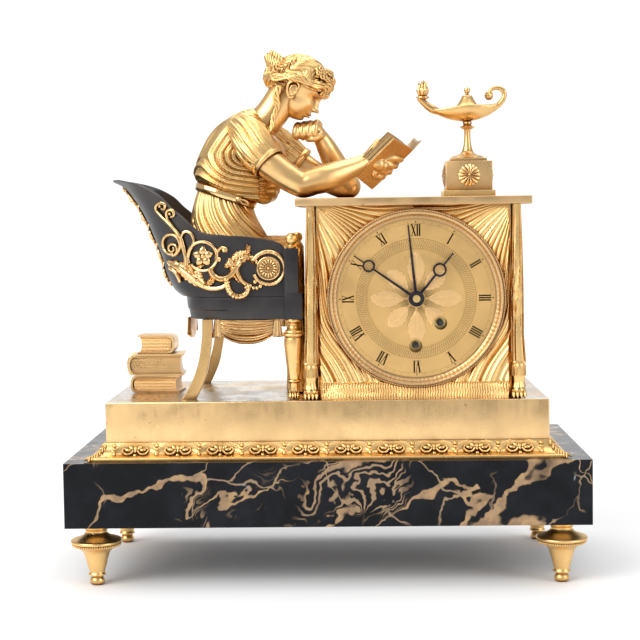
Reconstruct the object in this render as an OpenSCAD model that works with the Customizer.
// Mantel clock. A robed figure sits in a gondola chair and reads at a draped desk that holds
// the dial. The group stands on a gilt plinth over a marble slab with four turned feet.
// X runs to the right of the dial, Y to the back and Z up, from the floor under the slab.

/* [Base] */
// Width of the marble slab
marble_w = 310; // [304:1:320]
// Depth of the marble slab
marble_d = 150; // [146:1:156]
// Thickness of the marble slab
marble_h = 38.5; // [34:0.5:42]
// Height of the turned feet
foot_h = 37; // [35:0.5:40]
// Distance from the middle of the slab to the feet, sideways
foot_x = 139; // [134:1:139]
// Distance from the middle of the slab to the feet, front to back
foot_y = 59; // [54:1:59]
// Width of the gilt plinth
plinth_w = 264; // [262:1:270]
// Depth of the gilt plinth
plinth_d = 118; // [118:1:122]
// Height of the gilt plinth
plinth_h = 34; // [30:0.5:40]
// Height of the ornamental moulding round the plinth
moulding_h = 10; // [8:0.5:12]
// How far the moulding stands out at its foot
moulding_out = 9.7; // [6:0.1:10]

/* [Desk] */
// Middle of the desk from the middle of the slab
desk_x = 52.6; // [51:0.1:54]
// Height of the desk, top plate included
desk_h = 120.2; // [118:0.1:124]
// Width of the desk's top plate
desk_top_w = 140.2; // [138:0.1:142]
// Depth of the desk's top plate
desk_top_d = 111; // [108:1:114]
// Thickness of the desk's top plate
desk_top_t = 4.9; // [3:0.1:6]
// Outer width over the desk's legs at the foot
desk_foot_w = 134.4; // [134:0.1:135]
// Thickness of the desk's panels
panel_t = 3; // [2:0.1:3]

/* [Dial] */
// Middle of the dial from the middle of the slab
dial_x = 54; // [53:0.1:55]
// Height of the dial's middle over the plinth
dial_up = 59.9; // [59:0.1:61]
// Outer radius of the bezel
bezel_r = 53.3; // [52:0.1:54]
// Radius of the dial
dial_r = 47.4; // [47:0.1:47.4]
// Radius of the winding holes in the dial
winding_hole_r = 3.9; // [3.6:0.1:4.2]

/* [Hands] */
// Reach of the minute hand
minute_reach = 45; // [40:0.5:46]
// Angle of the minute hand, clockwise from twelve
minute_turn = -55; // [-180:1:180]
// Reach of the hour hand
hour_reach = 34.5; // [28:0.5:36]
// Angle of the hour hand, clockwise from twelve
hour_turn = 39.6; // [-180:0.1:180]
// Reach of the alarm hand
alarm_reach = 44; // [30:0.1:46]
// Angle of the alarm hand, clockwise from twelve
alarm_turn = -6; // [-180:1:180]

/* [Movement] */
// Radius of the movement's plates
plate_r = 41.5; // [41:0.1:42]
// Radius of the going barrel's drum
drum_r = 16.5; // [15:0.1:16.8]
// Radius of the alarm drum
alarm_drum_r = 13; // [10:0.1:13]
// Distance from the suspension down to the middle of the pendulum's bob
pendulum_l = 88; // [84:0.5:89]
// Radius of the pendulum's bob
bob_r = 9.5; // [8:0.1:10]
// Radius of the alarm bell
bell_r = 20; // [18:0.1:20]

/* [Chair] */
// Half the chair's width over the shell
chair_half_w = 47; // [46:0.1:47.5]
// Height of the seat over the plinth
seat_z = 61.7; // [61:0.1:63]
// Depth of the seat rail
rail_h = 13.7; // [12:0.1:14]
// Thickness of the chair's shell
shell_t = 2.4; // [2:0.1:3]
// Gap left between the chair's shell and the mounts on it
mount_gap = 0.4; // [0.1:0.1:0.6]

/* [Lamp] */
// Middle of the lamp from the middle of the slab
lamp_x = 88.9; // [86:0.1:92]
// Width of the lamp's pedestal
pedestal_w = 29; // [27:0.1:30]
// Height of the lamp's pedestal
pedestal_h = 20; // [18:0.1:22]

/* [Hidden] */
$fn = 48;

// Levels
marble_z = foot_h;
plinth_z = foot_h + marble_h;
deck_z = plinth_z + plinth_h;
desk_z = deck_z + desk_h;
panel_h = desk_h - desk_top_t;

// Base
stud_r = 3;
stud_l = 14;
bolt_r = 2.4;
bolt_x = 118;
bolt_y = 44;
plinth_wall = 3.5;

// Desk, front to back
leg_w = 9.6;
leg_in = 4.6;
front_y = -52.5;
leg_front_y = -57;
leg_d = 10;
inner_w = desk_foot_w - 2 * leg_w;
back_y = 47;
door_hole_r = 44;
door_y = back_y + panel_t + 0.6;
door_r = 46.5;
door_t = 1.6;
hinge_x = 50;
hinge_y = back_y + panel_t + 2.6;
hinge_r = 1;
knuckle_r = 2.3;
run = 0.05;

// Dial and hands, front to back
dial_y = -53.2;
dial_t = 1;
minute_y = -56.4;
hour_y = -55.4;
alarm_y = -54.4;
hand_t = 0.4;
centre_r = 1.5;
pipe_r = 2.4;
alarm_collar_r = 3.2;
dial_hole_r = 3.1;

// Movement, front to back
front_plate_y = -44;
back_plate_y = -16;
plate_t = 2;
going = [14.3, -14.9];
alarm = [-0.5, -28.4];

// Going train: a wheel and a pinion share each module
barrel_teeth = 80;
centre_leaves = 8;
centre_teeth = 84;
third_leaves = 7;
third_teeth = 84;
escape_leaves = 6;
escape_teeth = 36;
cannon_leaves = 10;
minute_teeth = 30;
minute_leaves = 8;
hour_teeth = 32;
barrel_m = 2 * norm(going) / (barrel_teeth + centre_leaves);
centre_m = 0.34;
third_m = 0.3;
motion_m = 0.5;
going_dir = atan2(going[1], going[0]);
third_dir = 135;
third_c = centre_m * (centre_teeth + third_leaves) / 2;
third = third_c * [cos(third_dir), sin(third_dir)];
escape_c = third_m * (third_teeth + escape_leaves) / 2;
escape = [0, third[1] + sqrt(escape_c * escape_c - third[0] * third[0])];
escape_dir = atan2(escape[1] - third[1], escape[0] - third[0]);
escape_r = 7.6;
anchor_at = [0, escape[1] + 11.3];
motion_c = motion_m * (cannon_leaves + minute_teeth) / 2;
pillar_at = 37.5;
pillar_turns = [0, 60, 120, 205];
dial_feet = [20, 140, 245];
suspension_up = 41;
pendulum_y = -5;
bell_y = 6;
hammer_at = [-27, -6];
strap_x = 44;

// Chair
shell_cx = -58;
shell_back = 32;
rail_cx = -58;
post_x = -24.5;
post_w = 8.5;
post_h = 28.8;
leg_x = -19.6;
leg_y = 47.5;
rim_over_back = [[0, 98.5], [0.33, 101], [0.5, 109.3], [0.624, 117], [0.7, 124.5], [0.875, 133.5], [1, 132]];
rim_over_side = [[-58, 98.5], [-50, 98.1], [-35, 96.1], [-27, 93.5], [-24.5, 91]];
back_flare = [[61, 0], [65.5, 5.4], [74.5, 9.9], [86, 12.9], [97.7, 17.7], [111.7, 23.8], [125, 32.3],
    [130, 38], [133, 46]];
side_share = 0.26;
plan_power = 0.8;
shell_steps = 44;
shell_rows = 9;

// Lamp
lamp_base_w = 32.2;
lamp_base_h = 4.3;
stem_h = 23;

module on_deck() {
    translate([0, 0, deck_z]) children();
}

module at_dial() {
    translate([dial_x, 0, deck_z + dial_up]) children();
}

module on_desk() {
    translate([0, 0, desk_z]) children();
}

// A flat outline in X and Z, thickened from y0 back to y1
module slab_y(y0, y1) {
    translate([0, y1, 0]) rotate([90, 0, 0]) linear_extrude(y1 - y0) children();
}

module rod_y(at, r, y0, y1) {
    translate([at[0], 0, at[1]]) slab_y(y0, y1) circle(r);
}

// A turned profile of [radius, y] points about the Y axis
module turned_y(points) {
    rotate([-90, 0, 0]) rotate_extrude() polygon(points);
}

module mirrored_y() {
    children();
    mirror([0, 1, 0]) children();
}

// ---- Base ----

module marble_base() {
    color([0.08, 0.08, 0.1]) difference() {
        translate([-marble_w / 2, -marble_d / 2, marble_z]) cube([marble_w, marble_d, marble_h]);
        for (x = [-foot_x, foot_x], y = [-foot_y, foot_y])
            translate([x, y, marble_z - 1]) cylinder(r = stud_r + 0.15, h = stud_l + 2);
        for (x = [-bolt_x, bolt_x], y = [-bolt_y, bolt_y]) translate([x, y, marble_z - 1]) {
            cylinder(r = bolt_r + 0.3, h = marble_h + 2);
            cylinder(r = 8, h = 10);
        }
    }
}

// A turned foot: ball, bell, beaded saucer, collar and threaded stud
module foot(x, y) {
    color("goldenrod") translate([x, y, 0]) rotate_extrude() polygon([[0, 0], [3.4, 0], [4.4, 1.6],
        [4.4, 3], [3.4, 4.6], [3.4, 5.4], [5.2, 5.8], [5.2, 7], [4.9, 8.6], [5.4, 11.5], [6.3, 15],
        [7.4, 18], [8.2, 20.2], [10.5, 22], [13.6, 23.2], [14.8, 24], [15.4, 25.4], [15.4, 26.8],
        [14.8, 28], [12, 29.8], [8.4, 31], [6.3, 31.6], [6.3, foot_h], [stud_r, foot_h],
        [stud_r, foot_h + stud_l], [0, foot_h + stud_l]]);
}

module plinth_box() {
    color("gold") translate([0, 0, plinth_z]) difference() {
        translate([-plinth_w / 2, -plinth_d / 2, 0]) cube([plinth_w, plinth_d, plinth_h]);
        difference() {
            translate([plinth_wall - plinth_w / 2, plinth_wall - plinth_d / 2, -1])
                cube([plinth_w - 2 * plinth_wall, plinth_d - 2 * plinth_wall, plinth_h + 1 - plinth_wall]);
            for (x = [-bolt_x, bolt_x], y = [-bolt_y, bolt_y])
                translate([x, y, -2]) cylinder(r = 6, h = plinth_h + 4);
        }
        for (x = [-bolt_x, bolt_x], y = [-bolt_y, bolt_y])
            translate([x, y, -1]) cylinder(r = bolt_r + 0.1, h = 23);
    }
}

module plinth_moulding() {
    foot_w = plinth_w + 2 * moulding_out;
    foot_d = plinth_d + 2 * moulding_out;
    color("goldenrod") translate([0, 0, plinth_z]) difference() {
        hull() {
            translate([-foot_w / 2, -foot_d / 2, 0]) cube([foot_w, foot_d, 2.4]);
            translate([-plinth_w / 2 - 1.6, -plinth_d / 2 - 1.6, 0]) cube([plinth_w + 3.2, plinth_d + 3.2, moulding_h]);
        }
        translate([-plinth_w / 2, -plinth_d / 2, -1]) cube([plinth_w, plinth_d, moulding_h + 2]);
    }
}

module plinth_bolts() {
    color("silver") for (x = [-bolt_x, bolt_x], y = [-bolt_y, bolt_y]) translate([x, y, marble_z]) {
        translate([0, 0, 2.2]) cylinder(r = bolt_r, h = marble_h + 18);
        translate([0, 0, 7.8]) cylinder(r = 7, h = 1.2);
        translate([0, 0, 3.8]) cylinder(r = 5, h = 4, $fn = 6);
    }
}

// ---- Desk ----

module desk_top() {
    color("gold") translate([desk_x - desk_top_w / 2, -desk_top_d / 2, desk_z - desk_top_t])
        cube([desk_top_w, desk_top_d, desk_top_t]);
}

// The front panel carries the hanging cloth, its flutes and the fringed hem
module desk_front_panel() {
    pleat = 6;
    color("goldenrod") difference() {
        union() {
            translate([desk_x - inner_w / 2, front_y, deck_z]) cube([inner_w, panel_t, panel_h]);
            translate([desk_x - inner_w / 2, front_y - 3.4, deck_z]) cube([inner_w, 3.4, 11]);
            for (x = [-inner_w / 2 + pleat / 2:pleat:inner_w / 2 - pleat / 2])
                translate([desk_x + x, front_y, deck_z + 11]) cylinder(r = 2, h = panel_h - 11);
        }
        at_dial() rod_y([0, 0], 49.1, front_y - 5, front_y + panel_t + 1);
        at_dial() rod_y([0, 0], bezel_r + 0.2, front_y - 5, front_y);
    }
}

module desk_side_panel(x) {
    color("goldenrod") translate([x, leg_front_y + leg_d, deck_z])
        cube([panel_t, back_y - leg_front_y - leg_d, panel_h]);
}

module desk_left_panel() {
    desk_side_panel(desk_x - desk_foot_w / 2 + leg_in);
}

module desk_right_panel() {
    desk_side_panel(desk_x + desk_foot_w / 2 - leg_in - panel_t);
}

module desk_back_panel() {
    color("goldenrod") difference() {
        union() {
            translate([desk_x - inner_w / 2, back_y, deck_z]) cube([inner_w, panel_t, panel_h]);
            at_dial() for (z = [-9, 5.2]) translate([hinge_x, hinge_y, z]) {
                cylinder(r = knuckle_r, h = 3.8);
                translate([0, -2.6, 0]) cube([knuckle_r, 2.6, 3.8]);
            }
        }
        at_dial() rod_y([0, 0], door_hole_r, back_y - 1, back_y + panel_t + 1);
        at_dial() translate([hinge_x, hinge_y, -12]) cylinder(r = hinge_r, h = 24);
    }
}

// One draped desk leg with a fringed cuff and a paw; it grows wider towards the foot
module desk_leg() {
    hull() {
        translate([-leg_w + 2.7, 2.5, panel_h - 1]) cube([leg_w - 2.7, leg_d - 2.5, 1]);
        translate([-leg_w + 2.2, 1.6, 38]) cube([leg_w - 2.2, leg_d - 1.6, 1]);
    }
    hull() {
        translate([-leg_w + 2.2, 1.6, 38]) cube([leg_w - 2.2, leg_d - 1.6, 1]);
        translate([-leg_w + 0.5, 0.2, 14]) cube([leg_w - 0.5, leg_d - 0.2, 1]);
    }
    translate([-leg_w + 1.6, 1.2, 6]) cube([leg_w - 1.6, leg_d - 1.2, 8]);
    hull() {
        translate([-leg_w + 1, 1, 5]) cube([leg_w - 1, leg_d - 1, 1]);
        translate([-leg_w, 0, 0]) cube([leg_w, leg_d, 3]);
    }
}

module desk_leg_pair() {
    color("goldenrod") {
        translate([desk_x - inner_w / 2, leg_front_y, deck_z]) desk_leg();
        translate([desk_x + inner_w / 2, leg_front_y, deck_z]) mirror([1, 0, 0]) desk_leg();
    }
}

module desk_legs_front() {
    desk_leg_pair();
}

module desk_legs_rear() {
    mirror([0, 1, 0]) desk_leg_pair();
}

module rear_door() {
    color("goldenrod") at_dial() {
        difference() {
            union() {
                rod_y([0, 0], door_r, door_y, door_y + door_t);
                translate([hinge_x, hinge_y, -5]) cylinder(r = knuckle_r, h = 10);
                translate([door_r - 3, door_y, -5]) cube([hinge_x - door_r + 3, door_t, 10]);
            }
            translate([hinge_x, hinge_y, -12]) cylinder(r = hinge_r + run, h = 24);
            for (i = [0:30:330]) rotate([0, i, 0]) rod_y([20, 0], 2.2, door_y - 1, door_y + door_t + 1);
        }
        rod_y([3 - door_r + 2, 0], 1, door_y + door_t, door_y + 4);
        rod_y([3 - door_r + 2, 0], 2.4, door_y + 4, door_y + 6);
    }
}

module door_hinge_pin() {
    color("silver") at_dial() translate([hinge_x, hinge_y, -9]) {
        cylinder(r = hinge_r, h = 18);
        translate([0, 0, 18]) cylinder(r = 1.6, h = 0.8);
        translate([0, 0, -0.8]) cylinder(r = 1.6, h = 0.8);
    }
}

// ---- Dial and hands ----

module bezel() {
    color("gold") at_dial() turned_y([[dial_r + 0.1, front_plate_y], [49, front_plate_y], [49, front_y],
        [bezel_r, front_y], [bezel_r, -55.4], [bezel_r - 0.8, -56.8], [bezel_r - 2, -57.4],
        [bezel_r - 3.2, -56.8], [bezel_r - 3.8, -55.8], [bezel_r - 4.6, -54.8], [dial_r + 0.1, -54.2]]);
}

module dial() {
    color("khaki") at_dial() difference() {
        union() {
            rod_y([0, 0], dial_r, dial_y, dial_y + dial_t);
            for (a = dial_feet) rod_y(34 * [cos(a), sin(a)], 1, dial_y + dial_t, front_plate_y);
        }
        rod_y([0, 0], dial_hole_r, dial_y - 1, dial_y + 2);
        rod_y(going, winding_hole_r, dial_y - 1, dial_y + 2);
        rod_y(alarm, winding_hole_r, dial_y - 1, dial_y + 2);
    }
}

// A hand: a bar from the hub to the tip, with an open ring on it where ring_r is more than 0
module hand(y, turn, reach, hub_r, bore_r, ring_at, ring_r) {
    rotate([0, turn, 0]) slab_y(y, y + hand_t) difference() {
        union() {
            circle(hub_r);
            polygon([[-0.9, 0], [0.9, 0], [0.35, reach], [-0.35, reach]]);
            if (ring_r > 0) translate([0, ring_at]) circle(ring_r);
        }
        circle(bore_r);
        if (ring_r > 0) translate([0, ring_at]) circle(ring_r - 1.1);
    }
}

module minute_hand() {
    color("midnightblue") at_dial() hand(minute_y, minute_turn, minute_reach, 4.7, centre_r, 34.3, 3.7);
}

module hour_hand() {
    color("midnightblue") at_dial() hand(hour_y, hour_turn, hour_reach, 4.4, pipe_r, 21.9, 4.1);
}

module alarm_hand() {
    color("midnightblue") at_dial() {
        hand(alarm_y, alarm_turn, alarm_reach, 4.2, pipe_r + run, 0, 0);
        difference() {
            rod_y([0, 0], alarm_collar_r, alarm_y + hand_t / 2, dial_y - 0.1);
            rod_y([0, 0], pipe_r + run, alarm_y - 1, dial_y + 1);
        }
    }
}

// ---- Movement ----

// A toothed wheel with one tooth centred on the angle tooth_at
module gear(teeth, size, tooth_at) {
    r = teeth * size / 2;
    tip = r + 0.5 * size;
    root = r - 0.9 * size;
    half = 180 / teeth;
    polygon([for (i = [0:teeth - 1], p = [[root, -0.56], [tip, -0.14], [tip, 0.14], [root, 0.56]])
        let (a = tooth_at + half * (2 * i + p[1])) p[0] * [cos(a), sin(a)]]);
}

// A wheel with its crossings cut out between rim and hub
module crossed_gear(teeth, size, tooth_at, arms, hub_r) {
    rim_r = teeth * size / 2 - 2.2 * size - 0.5;
    difference() {
        gear(teeth, size, tooth_at);
        difference() {
            circle(rim_r);
            circle(hub_r);
            for (i = [0:arms - 1]) rotate(i * 360 / arms) translate([0, -0.7]) square([rim_r + 1, 1.4]);
        }
    }
}

module plate_holes() {
    rod_y([0, 0], centre_r + run, front_plate_y - 3, back_plate_y + 5);
    rod_y(going, 2 + run, front_plate_y - 3, back_plate_y + 5);
    rod_y(third, 0.6 + run, front_plate_y - 3, back_plate_y + 5);
    rod_y(escape, 0.5 + run, front_plate_y - 3, back_plate_y + 5);
    rod_y(hammer_at, 0.8 + run, front_plate_y - 3, back_plate_y + 5);
}

module plate(y) {
    rod_y([0, 0], plate_r, y, y + plate_t);
    for (s = [-1, 1]) slab_y(y, y + plate_t) translate([s * (strap_x - 2.5) - 2.5, -3]) square([5, 6]);
}

// The four pillars are riveted into the front plate; a bridge on two posts carries the alarm drum
module front_plate() {
    bridge_y = back_plate_y - 16.4;
    color("goldenrod") at_dial() difference() {
        union() {
            plate(front_plate_y);
            for (a = pillar_turns) rod_y(pillar_at * [cos(a), sin(a)], 2, front_plate_y + plate_t, back_plate_y);
            for (s = [-15.5, 15.5]) rod_y(alarm + [s, 0], 1.5, front_plate_y + plate_t, bridge_y);
            slab_y(bridge_y, bridge_y + 0.8) translate(alarm - [18, 2.5]) square([36, 5]);
            rod_y([0, motion_c], 1, front_plate_y - 7, front_plate_y);
        }
        plate_holes();
        rod_y(anchor_at, 0.6 + run, front_plate_y - 3, front_plate_y + 5);
        rod_y(alarm, 2 + run, front_plate_y - 3, bridge_y - 2);
        rod_y(alarm, 0.8 + run, bridge_y - 3, bridge_y + 3);
    }
}

module back_plate() {
    color("goldenrod") at_dial() difference() {
        plate(back_plate_y);
        plate_holes();
        rod_y(anchor_at, 0.6 + run, back_plate_y - 3, back_plate_y + 5);
    }
}

// Two straps hold the plates and pull the bezel against the back of the case
module movement_straps() {
    color("darkgoldenrod") at_dial() for (s = [-1, 1]) slab_z(-3, 3)
        polygon([[s * strap_x, front_plate_y], [s * 48.6, front_plate_y], [s * 48.6, front_plate_y + 1.4],
            [s * (strap_x + 1.6), front_plate_y + 1.4], [s * (strap_x + 1.6), back_y], [s * strap_x, back_y]]);
}

module slab_z(z0, z1) {
    translate([0, 0, z0]) linear_extrude(z1 - z0) children();
}

module centre_arbor() {
    color("silver") at_dial() {
        rod_y([0, 0], centre_r, -57, back_plate_y + plate_t);
        rod_y([0, 0], 2.2, -57.9, minute_y);
        slab_y(-48, -46) gear(cannon_leaves, motion_m, 90);
        slab_y(-39, -38) crossed_gear(centre_teeth, centre_m, third_dir, 5, 3.2);
        slab_y(-31.6, -29.6) gear(centre_leaves, barrel_m, going_dir);
    }
}

module hour_wheel() {
    color("goldenrod") at_dial() difference() {
        union() {
            slab_y(-50.5, -49.7) gear(hour_teeth, motion_m, 90 + 180 / hour_teeth);
            rod_y([0, 0], pipe_r, hour_y, -49.7);
        }
        rod_y([0, 0], centre_r + run, -58, -48);
    }
}

module minute_wheel() {
    color("goldenrod") at_dial() translate([0, 0, motion_c]) difference() {
        union() {
            slab_y(-47.4, -46.6) gear(minute_teeth, motion_m, 180 / minute_teeth - 90);
            slab_y(-50.8, -47.4) gear(minute_leaves, motion_m, -90);
        }
        rod_y([0, 0], 1 + run, -52, -46);
    }
}

module going_barrel() {
    drum_y = -29.9;
    drum_l = 11.5;
    color("goldenrod") at_dial() translate([going[0], 0, going[1]]) difference() {
        union() {
            slab_y(-31.2, drum_y) gear(barrel_teeth, barrel_m, going_dir + 180 + 180 / barrel_teeth);
            rod_y([0, 0], drum_r, drum_y, drum_y + drum_l);
        }
        rod_y([0, 0], drum_r - 1, drum_y + 0.2, drum_y + drum_l - 1);
        rod_y([0, 0], 2 + run, -33, drum_y + drum_l + 1);
    }
}

// The winding arbor: a square for the key in front, a hook collar inside the drum
module going_arbor() {
    color("silver") at_dial() translate([going[0], 0, going[1]]) {
        rod_y([0, 0], 2, -50, back_plate_y + plate_t);
        slab_y(dial_y + 0.3, -50) square(2.8, center = true);
        rod_y([0, 0], 5, -29, -20);
    }
}

module third_wheel() {
    color("goldenrod") at_dial() translate([third[0], 0, third[1]]) {
        rod_y([0, 0], 0.6, front_plate_y, back_plate_y + plate_t);
        slab_y(-40, -37) gear(third_leaves, centre_m, third_dir + 180 + 180 / third_leaves);
        slab_y(-27, -26) crossed_gear(third_teeth, third_m, escape_dir, 4, 2.2);
    }
}

module escape_wheel() {
    color("goldenrod") at_dial() translate([escape[0], 0, escape[1]]) {
        rod_y([0, 0], 0.5, front_plate_y, back_plate_y + plate_t);
        slab_y(-28, -25) gear(escape_leaves, third_m, escape_dir + 180 + 180 / escape_leaves);
        slab_y(-22, -21.2) difference() {
            polygon([for (i = [0:escape_teeth - 1], p = [[escape_r - 1.4, 0], [escape_r, 0.1], [escape_r, 0.2],
                [escape_r - 1.4, 0.6]]) p[0] * [cos((i + p[1]) * 360 / escape_teeth), sin((i + p[1]) * 360 / escape_teeth)]]);
            difference() {
                circle(escape_r - 2.2);
                circle(1.6);
                for (i = [0:3]) rotate(i * 90) translate([0, -0.5]) square([escape_r, 1]);
            }
        }
    }
}

// Pallets on their arbor, with the crutch that reaches the pendulum rod behind the back plate
module anchor() {
    color("silver") at_dial() translate([anchor_at[0], 0, anchor_at[1]]) {
        rod_y([0, 0], 0.6, front_plate_y, -9);
        slab_y(-22.6, -20.6) {
            circle(1.8);
            polygon([[-9.6, -5.6], [-8.6, -2.2], [0, 1.4], [8.6, -2.2], [9.6, -5.6], [8.2, -5.8],
                [7.2, -3.2], [0, -0.8], [-7.2, -3.2], [-8.2, -5.8]]);
        }
        slab_y(-10.2, -9) {
            circle(1.5);
            translate([-0.6, -33]) square([1.2, 33]);
            translate([-2.6, -34]) square([5.2, 1.6]);
        }
        for (s = [-1, 1]) rod_y([s * 1.9, -33.2], 0.6, -9, -3);
    }
}

module suspension_cock() {
    color("goldenrod") at_dial() translate([0, 0, suspension_up]) {
        slab_y(back_plate_y + plate_t, -2) translate([-4, -0.6]) square([8, 3]);
        slab_y(back_plate_y + plate_t, back_plate_y + plate_t + 1.4) translate([-4, -8]) square([8, 8]);
        slab_y(-4, -2) translate([-1.6, -3.4]) square([3.2, 3]);
        slab_y(-8, -6) translate([-1.6, -3.4]) square([3.2, 3]);
        rod_y([0, -2.2], 0.7, -6.4, -3.6);
    }
}

module pendulum() {
    color("goldenrod") at_dial() translate([0, 0, suspension_up - 2.2]) {
        difference() {
            union() {
                rod_y([0, 0], 1.15, pendulum_y - 0.5, pendulum_y + 0.5);
                translate([0, pendulum_y, -pendulum_l]) cylinder(r = 0.5, h = pendulum_l - 0.9);
            }
            rod_y([0, 0], 0.7 + run, pendulum_y - 2, pendulum_y + 2);
        }
        translate([0, 0, -pendulum_l]) turned_y([[0, pendulum_y - 2.2], [4, pendulum_y - 1.9],
            [bob_r, pendulum_y - 0.3], [bob_r, pendulum_y + 0.3], [4, pendulum_y + 1.9], [0, pendulum_y + 2.2]]);
    }
}

module alarm_arbor() {
    color("silver") at_dial() translate([alarm[0], 0, alarm[1]]) {
        slab_y(dial_y + 0.3, -50) square(2.8, center = true);
        rod_y([0, 0], 2, -50, -34);
        rod_y([0, 0], 0.8, -34, back_plate_y - 15.6);
        rod_y([0, 0], alarm_drum_r, -41.2, -33.6);
    }
}

module hammer() {
    color("silver") at_dial() translate([hammer_at[0], 0, hammer_at[1]]) {
        rod_y([0, 0], 0.8, front_plate_y, 10);
        slab_y(10, 11.2) {
            circle(1.8);
            translate([-0.6, 0]) square([1.2, 14]);
        }
        translate([-1, 10.6, 14]) rotate([0, 90, 0]) cylinder(r = 2.2, h = 6);
    }
}

// The bell on its bracket, which is screwed to the back plate beside the pendulum
module bell() {
    color("goldenrod") at_dial() {
        turned_y([[bell_r, bell_y], [bell_r - 0.6, bell_y + 5], [bell_r - 4, bell_y + 10], [9, bell_y + 13],
            [0, bell_y + 14], [0, bell_y + 12.6], [8.6, bell_y + 11.6], [bell_r - 5, bell_y + 8.8],
            [bell_r - 1.8, bell_y + 4.6], [bell_r - 1.2, bell_y]]);
        rod_y([0, 0], 1.2, bell_y + 14, bell_y + 17);
        slab_y(bell_y + 15, bell_y + 16.4) translate([0, -2]) square([28, 4]);
        slab_y(back_plate_y + plate_t, bell_y + 16.4) translate([26.4, -2]) square([1.6, 4]);
        slab_y(back_plate_y + plate_t, back_plate_y + plate_t + 1.4) translate([26.4, -3]) square([8, 6]);
    }
}

// ---- Chair ----

// Half-plan of the chair: p runs from -1 at the near front, through 0 at the back, to 1
function plan_c(p) = pow(max(0, cos(90 * p / (1 - side_share))), plan_power);
function plan_s(p) = sign(p) * pow(abs(sin(90 * p / (1 - side_share))), plan_power);
function on_side(p) = abs(p) >= 1 - side_share;
function side_x(p, cx, x1) = cx + (x1 - cx) * (abs(p) - 1 + side_share) / side_share;
function shell_point(p, z, out) = on_side(p)
    ? [side_x(p, shell_cx, post_x), sign(p) * (chair_half_w + out), z]
    : [shell_cx - (shell_back + lookup(z, back_flare) + out) * plan_c(p), (chair_half_w + out) * plan_s(p), z];
function rim_z(p) = on_side(p) ? lookup(side_x(p, shell_cx, post_x), rim_over_side)
    : lookup(plan_c(p), rim_over_back);
function shell_level(p, v) = seat_z + (rim_z(p) - seat_z) * v;

// A stretch of the chair's wall between two columns and two rows of its grid, from in_out[0] to in_out[1] out
module shell_wall(columns, rows, in_out) {
    tall = rows[1] - rows[0];
    steps = columns[1] - columns[0];
    ring = [for (side = [0, 1], j = [0:tall]) [side, side == 0 ? rows[0] + j : rows[1] - j]];
    n = len(ring);
    points = [for (i = [columns[0]:columns[1]], q = ring)
        let (p = 2 * i / shell_steps - 1)
            shell_point(p, shell_level(p, q[1] / shell_rows), in_out[1 - q[0]])];
    sides = [for (i = [0:steps - 1], j = [0:n - 1])
        let (a = i * n + j, b = i * n + (j + 1) % n) [[a, b, b + n], [a, b + n, a + n]]];
    polyhedron(points, concat([[for (j = [n - 1:-1:0]) j]], [for (s = sides, f = s) f],
        [[for (j = [0:n - 1]) steps * n + j]]));
}

module chair_shell() {
    color("dimgray") on_deck() shell_wall([0, shell_steps], [0, shell_rows], [-shell_t, 0]);
}

module rail_plan(inset) {
    points = [for (i = [-12:12]) let (p = i / 12 * (1 - side_share - 0.001))
        [rail_cx - (shell_back + 1 - inset) * plan_c(p), (chair_half_w + 1 - inset) * plan_s(p)]];
    polygon(concat([[post_x + 1, -chair_half_w - 1 + inset]], points, [[post_x + 1, chair_half_w + 1 - inset]]));
}

module chair_seat_rail() {
    color("dimgray") on_deck() difference() {
        translate([0, 0, seat_z - rail_h]) linear_extrude(rail_h) rail_plan(0);
        translate([0, 0, seat_z - rail_h - 1]) linear_extrude(rail_h - 3) rail_plan(6);
        mirrored_y() translate([post_x, leg_y - 4, seat_z - rail_h - 1]) cube([20, 20, rail_h + 2]);
    }
}

module chair_posts() {
    color("dimgray") on_deck() mirrored_y() translate([post_x, leg_y - 4, 0]) {
        translate([0, 0, seat_z - rail_h]) cube([post_w + 2, 8, rail_h]);
        translate([0, 0.4, seat_z]) cube([post_w, 7.2, post_h]);
    }
}

module chair_finials() {
    color("gold") on_deck() mirrored_y() translate([post_x + post_w / 2, leg_y, seat_z + post_h])
        rotate_extrude() polygon([[0, 0], [2.9, 0], [2.9, 0.8], [1.8, 1.6], [2.4, 2.6], [3.3, 3.8],
            [3.65, 5.4], [3.3, 7.2], [2.4, 8.4], [1.2, 9], [0, 9.2]]);
}

// A turned front leg: spool, disc, taper, ring and foot
module chair_front_legs() {
    top = seat_z - rail_h;
    color("gold") on_deck() mirrored_y() translate([leg_x, leg_y, 0]) rotate_extrude()
        polygon([[0, 0], [4, 0], [4.2, 1.4], [3, 4], [2.7, 7], [3.1, 9.4], [4.2, 10.4], [4.2, 11.4],
            [3.4, 12.2], [4, 18], [5, 28], [5.6, 34], [5.8, 37], [7, 37.8], [7, 39.4], [5, 40.4],
            [3.9, 42.4], [4.1, 44], [4.8, 46.4], [5, top], [0, top]]);
}

// A sabre leg seen from the side, sweeping back to its foot
module chair_rear_legs() {
    top = seat_z - rail_h;
    steps = 10;
    front = [for (i = [0:steps]) let (t = i / steps) [-68.4 - 10.8 * pow(1 - t, 1.7), t * top]];
    rear = [for (i = [0:steps]) let (t = i / steps) [-74.4 - 13.8 * pow(1 - t, 1.9), t * top]];
    color("goldenrod") on_deck() mirrored_y() slab_y(-48, -41)
        polygon(concat(front, [for (i = [steps:-1:0]) rear[i]]));
}

// The mounts follow the wall's curve; their scrolls lie on these plates
module chair_side_mounts() {
    color("gold") on_deck() {
        shell_wall([1, 15], [1, 7], [mount_gap, 1.8]);
        shell_wall([shell_steps - 15, shell_steps - 1], [1, 7], [mount_gap, 1.8]);
    }
}

module chair_back_mount() {
    color("gold") on_deck() shell_wall([shell_steps / 2 - 2, shell_steps / 2 + 2], [1, 8], [mount_gap, 2.4]);
}

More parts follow.
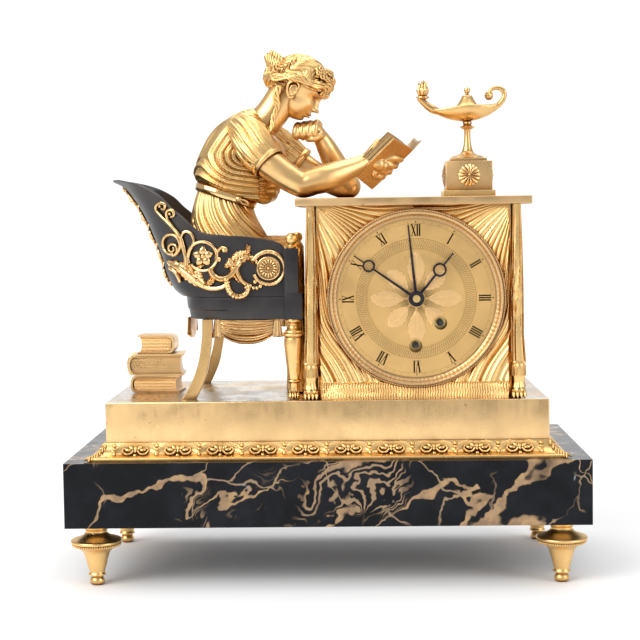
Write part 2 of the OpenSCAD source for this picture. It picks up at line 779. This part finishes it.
// A swag of cloth hangs in a curve, with a tassel at each end
module swag(w, drop) {
    steps = 12;
    linear_extrude(2) {
        polygon(concat([[w / 2, 0], [-w / 2, 0]], [for (i = [0:steps])
            let (t = 2 * i / steps - 1) [t * w / 2, -4 - (drop - 4) * (1 - t * t)]]));
        for (s = [-1, 1]) translate([s * w / 2 - 2.4, -10]) square([4.8, 10]);
    }
}

module seat_swags() {
    top = seat_z - rail_h;
    color("gold") on_deck() {
        mirrored_y() translate([-47.5, -43.6, top]) rotate([90, 0, 0]) swag(34, 15);
        translate([-84.6, 0, top]) rotate([90, 0, -90]) swag(40, 13);
    }
}

// ---- Figure ----

// A limb or fold between two balls of radius a[3] and b[3]
module limb(a, b) {
    hull() {
        translate([a[0], a[1], a[2]]) sphere(a[3], $fn = 18);
        translate([b[0], b[1], b[2]]) sphere(b[3], $fn = 18);
    }
}

module torso_shape() {
    hull() {
        mirrored_y() translate([-57, 14, 150]) sphere(14, $fn = 20);
        mirrored_y() translate([-63, 9, 126]) sphere(17, $fn = 20);
    }
    hull() {
        mirrored_y() translate([-55, 15, 152]) sphere(13, $fn = 20);
        mirrored_y() translate([-40, 11, 147]) sphere(12, $fn = 20);
        translate([-47, 0, 160]) sphere(9, $fn = 20);
    }
    hull() {
        mirrored_y() translate([-40, 10, 147]) sphere(11, $fn = 20);
        mirrored_y() translate([-54, 8, 122]) sphere(11, $fn = 20);
    }
    limb([-48, -17, 159, 11], [-37, -26, 148, 8.5]);
    limb([-46, 17, 159, 11], [-30, 22, 148, 8.5]);
    limb([-60, 0, 150, 15], [-66, 0, 134, 15]);
    limb([-52, 0, 160, 13], [-37, 0, 164, 9]);
    limb([-64, -6, 122, 17.5], [-62, 6, 118, 17.5]);
}

// The belt lies on a tilted plane; cloth above it belongs to the torso, below it to the skirt
module above_belt() {
    translate([-63, 0, 125]) rotate([0, 16.5, 0]) translate([-60, -60, 0]) cube([140, 120, 120]);
}

module figure_torso() {
    color("gold") on_deck() intersection() {
        torso_shape();
        above_belt();
    }
}

module figure_skirt() {
    color("gold") on_deck() difference() {
        union() {
            limb([-63, -6, 120, 19], [-63, -8, 84, 21]);
            limb([-63, 6, 120, 19], [-63, 8, 84, 21]);
            limb([-62, -9, 84, 20], [-31, -13, 84, 13]);
            limb([-62, 9, 84, 20], [-31, 13, 84, 13]);
            limb([-30, -13, 82, 12], [-24, -13, 78, 11.5]);
            limb([-30, 13, 82, 12], [-24, 13, 78, 11.5]);
            limb([-50, 0, 84, 17], [-26, 0, 82, 11]);
            hull() for (y = [-18, 18]) {
                translate([-18.5, y, 78]) sphere(5.5, $fn = 18);
                translate([-18.5, y, 30]) sphere(4.6, $fn = 18);
            }
            hull() for (y = [-18, 18]) {
                translate([-18.5, y, 30]) sphere(4.6, $fn = 18);
                translate([-18.5, y, 0]) sphere(4.8, $fn = 18);
            }
        }
        above_belt();
        translate([-120, -60, -30]) cube([140, 120, 30]);
        translate([-120, -60, -1]) cube([120 + post_x + 1, 120, seat_z + 1]);
    }
}

module head_shape() {
    hull() {
        translate([-17, 0, 194]) sphere(16, $fn = 22);
        translate([-9, 0, 190]) sphere(15, $fn = 22);
        translate([-7, 0, 180]) sphere(9, $fn = 22);
    }
    limb([-29, 0, 205, 7.5], [-31.5, 0, 208.6, 7.2]);
    limb([-24, 0, 199, 12], [-29, 0, 204, 8.5]);
    limb([-20, 0, 186, 10], [-33, 0, 169, 9.5]);
}

module figure_head() {
    color("gold") on_deck() difference() {
        head_shape();
        intersection() {
            torso_shape();
            above_belt();
        }
    }
}

module book_leaf(turn) {
    translate([30, -6, 129]) rotate([0, turn, 0]) cube([2.4, 21, 30]);
}

module figure_near_arm() {
    color("gold") on_deck() difference() {
        union() {
            limb([-38, -26, 147, 7], [-14, -27, 129, 7]);
            limb([-12, -27, 129, 7.6], [6, -22, 134.5, 7.4]);
            limb([6, -22, 134.5, 7.4], [24, -14, 142, 4.8]);
            limb([24, -14, 142, 4.8], [32, -9, 148, 4.6]);
            limb([32, -9, 148, 4.6], [40, -7, 152, 3]);
            limb([30, -9, 142, 3.4], [40, -7, 143, 2.4]);
        }
        torso_shape();
        book_leaf(40);
        book_leaf(12);
        translate([-60, -60, 20]) cube([140, 120, desk_h - 20]);
    }
}

module figure_far_arm() {
    color("gold") on_deck() difference() {
        union() {
            limb([-34, 22, 147, 7.5], [6, 17, 129, 7]);
            limb([8, 16, 128, 7], [2, 11, 146, 5.4]);
            limb([2, 11, 146, 5.4], [-4, 8, 158, 4]);
            limb([-4, 8, 158, 4], [-10, 4, 163, 4.6]);
        }
        torso_shape();
        head_shape();
        translate([-60, -60, 20]) cube([140, 120, desk_h - 20]);
    }
}

// The open book: two leaves of board and pages that meet at the spine
module open_book() {
    color("gold") on_deck() {
        book_leaf(40);
        book_leaf(12);
    }
}

// ---- Books on the plinth ----

// A closed book with its rounded spine towards -X
module closed_book(w, d, h, board) {
    spine_x = h / 2 - 1.7;
    cube([w, d, board]);
    translate([0, 0, h - board]) cube([w, d, board]);
    translate([1, 1, board]) cube([w - 2.4, d - 2, h - 2 * board]);
    intersection() {
        translate([spine_x, 0, h / 2]) rotate([-90, 0, 0]) cylinder(r = h / 2, h = d);
        translate([-h, 0, 0]) cube([h + spine_x, d, h]);
    }
}

module book_bottom() {
    color("gold") on_deck() translate([-122.5, -10, 0]) rotate([0, 0, -3]) closed_book(29.5, 24, 11, 1.6);
}

module book_middle() {
    color("gold") on_deck() translate([-123.4, -13, 11]) rotate([0, 0, 3]) closed_book(33.4, 26, 13.6, 1.8);
}

module book_top() {
    color("gold") on_deck() translate([-117.6, -9.5, 24.6]) rotate([0, 0, -2]) closed_book(21.6, 20, 11.8, 1.4);
}

// ---- Lamp ----

module lamp_pedestal() {
    top_z = lamp_base_h + pedestal_h;
    color("gold") on_desk() translate([lamp_x, 0, 0]) difference() {
        union() {
            translate([-lamp_base_w / 2, -lamp_base_w / 2, 0]) cube([lamp_base_w, lamp_base_w, lamp_base_h]);
            translate([-pedestal_w / 2, -pedestal_w / 2, 0]) cube([pedestal_w, pedestal_w, top_z]);
            for (a = [0, 90, 180, 270]) rotate([0, 0, a]) rod_y([0, lamp_base_h + pedestal_h / 2], 6.7,
                -pedestal_w / 2 - 2, -pedestal_w / 2);
        }
        translate([0, 0, top_z - 8]) cylinder(r = 2, h = 10);
    }
}

module lamp_stem() {
    color("gold") on_desk() translate([lamp_x, 0, lamp_base_h + pedestal_h]) rotate_extrude()
        polygon([[0, -7], [1.9, -7], [1.9, 0], [10.4, 0], [10.4, 0.9], [8, 1.9], [4.6, 3.2], [3, 5.4],
            [2.1, 9], [1.9, 14], [2.4, 17.6], [2.8, 18], [4.9, 19.2], [2.9, 20.6], [2.9, stem_h], [0, stem_h]]);
}

// The boat-shaped oil lamp with its spout, flame and curled handle
module lamp_bowl() {
    color("gold") on_desk() translate([lamp_x, 0, lamp_base_h + pedestal_h + stem_h]) difference() {
        union() {
            hull() {
                cylinder(r = 3.6, h = 0.6, $fn = 32);
                translate([1, 0, 3.4]) scale([1.35, 1, 1]) cylinder(r = 8.4, h = 0.6, $fn = 32);
                translate([3, 0, 7.4]) scale([1.35, 1, 1]) cylinder(r = 11, h = 1.4, $fn = 32);
            }
            hull() {
                translate([-7, 0, 3.4]) sphere(3.6, $fn = 20);
                translate([-22, 0, 10.6]) sphere(2.6, $fn = 20);
            }
            hull() {
                translate([-22, 0, 10.6]) sphere(2.6, $fn = 20);
                translate([-27, 0, 13.6]) cylinder(r = 4.4, h = 1, $fn = 20);
            }
            hull() {
                translate([-28.4, 0, 14.4]) cylinder(r = 3, h = 1, $fn = 16);
                translate([-28.8, 0, 20]) sphere(3.2, $fn = 16);
                translate([-29.4, 0, 25.2]) sphere(1, $fn = 16);
            }
            hull() {
                translate([14, 0, 7]) sphere(2, $fn = 16);
                translate([23, 0, 13]) sphere(1.4, $fn = 16);
            }
            translate([18, 0, 13.2]) rotate([90, 0, 0]) rotate_extrude(angle = 200) translate([5, 0]) circle(1.3);
            translate([13.4, 0, 11.8]) sphere(2.1);
        }
        translate([0, 0, 5.4]) cylinder(r = 5.6, h = 10);
    }
}

module lamp_lid() {
    color("gold") on_desk() translate([lamp_x, 0, lamp_base_h + pedestal_h + stem_h]) rotate_extrude()
        polygon([[0, 6.4], [5.4, 6.4], [5.4, 8.8], [7.2, 8.8], [7.2, 9.4], [5.2, 11.2], [3.6, 14.6], [1.6, 16.8],
            [1, 17.4], [1.9, 18.6], [1.9, 20], [1, 21], [0, 21.2]]);
}

marble_base();
foot(-foot_x, -foot_y);  // foot_front_left
foot(foot_x, -foot_y);  // foot_front_right
foot(-foot_x, foot_y);  // foot_rear_left
foot(foot_x, foot_y);  // foot_rear_right
plinth_box();
plinth_moulding();
plinth_bolts();
desk_top();
desk_front_panel();
desk_left_panel();
desk_right_panel();
desk_back_panel();
desk_legs_front();
desk_legs_rear();
rear_door();
door_hinge_pin();
bezel();
dial();
front_plate();
back_plate();
movement_straps();
centre_arbor();
minute_hand();
hour_wheel();
hour_hand();
minute_wheel();
alarm_hand();
alarm_arbor();
going_barrel();
going_arbor();
third_wheel();
escape_wheel();
anchor();
pendulum();
suspension_cock();
hammer();
bell();
chair_shell();
chair_seat_rail();
chair_posts();
chair_finials();
chair_front_legs();
chair_rear_legs();
chair_side_mounts();
chair_back_mount();
seat_swags();
figure_torso();
figure_skirt();
figure_head();
figure_near_arm();
figure_far_arm();
open_book();
book_bottom();
book_middle();
book_top();
lamp_pedestal();
lamp_stem();
lamp_bowl();
lamp_lid();
